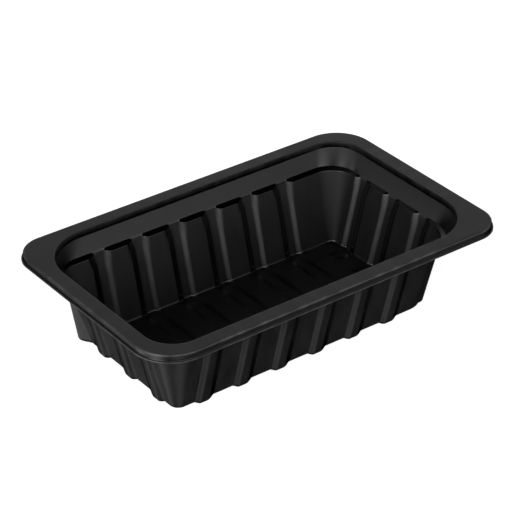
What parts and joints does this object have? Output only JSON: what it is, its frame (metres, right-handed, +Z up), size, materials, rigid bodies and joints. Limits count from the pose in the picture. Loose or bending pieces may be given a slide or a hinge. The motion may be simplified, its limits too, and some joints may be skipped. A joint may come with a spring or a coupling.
{
  "type": "food tray",
  "caption": "Deep rectangular black plastic food tray with a rolled rim, two wide corner tabs and fluted sloping walls.",
  "frame": {"origin": "centre of the rim's rectangle, on the surface that the tray stands on", "axes": "+X along the long side, +Y across it to the long side behind, +Z up out of the opening"},
  "size_m": [0.265, 0.163, 0.065],
  "materials": {
    "black_plastic": "black polypropylene with a soft satin gloss"
  },
  "bodies": {
    "root": {"tray": "black_plastic"}
  },
  "joints": []
}
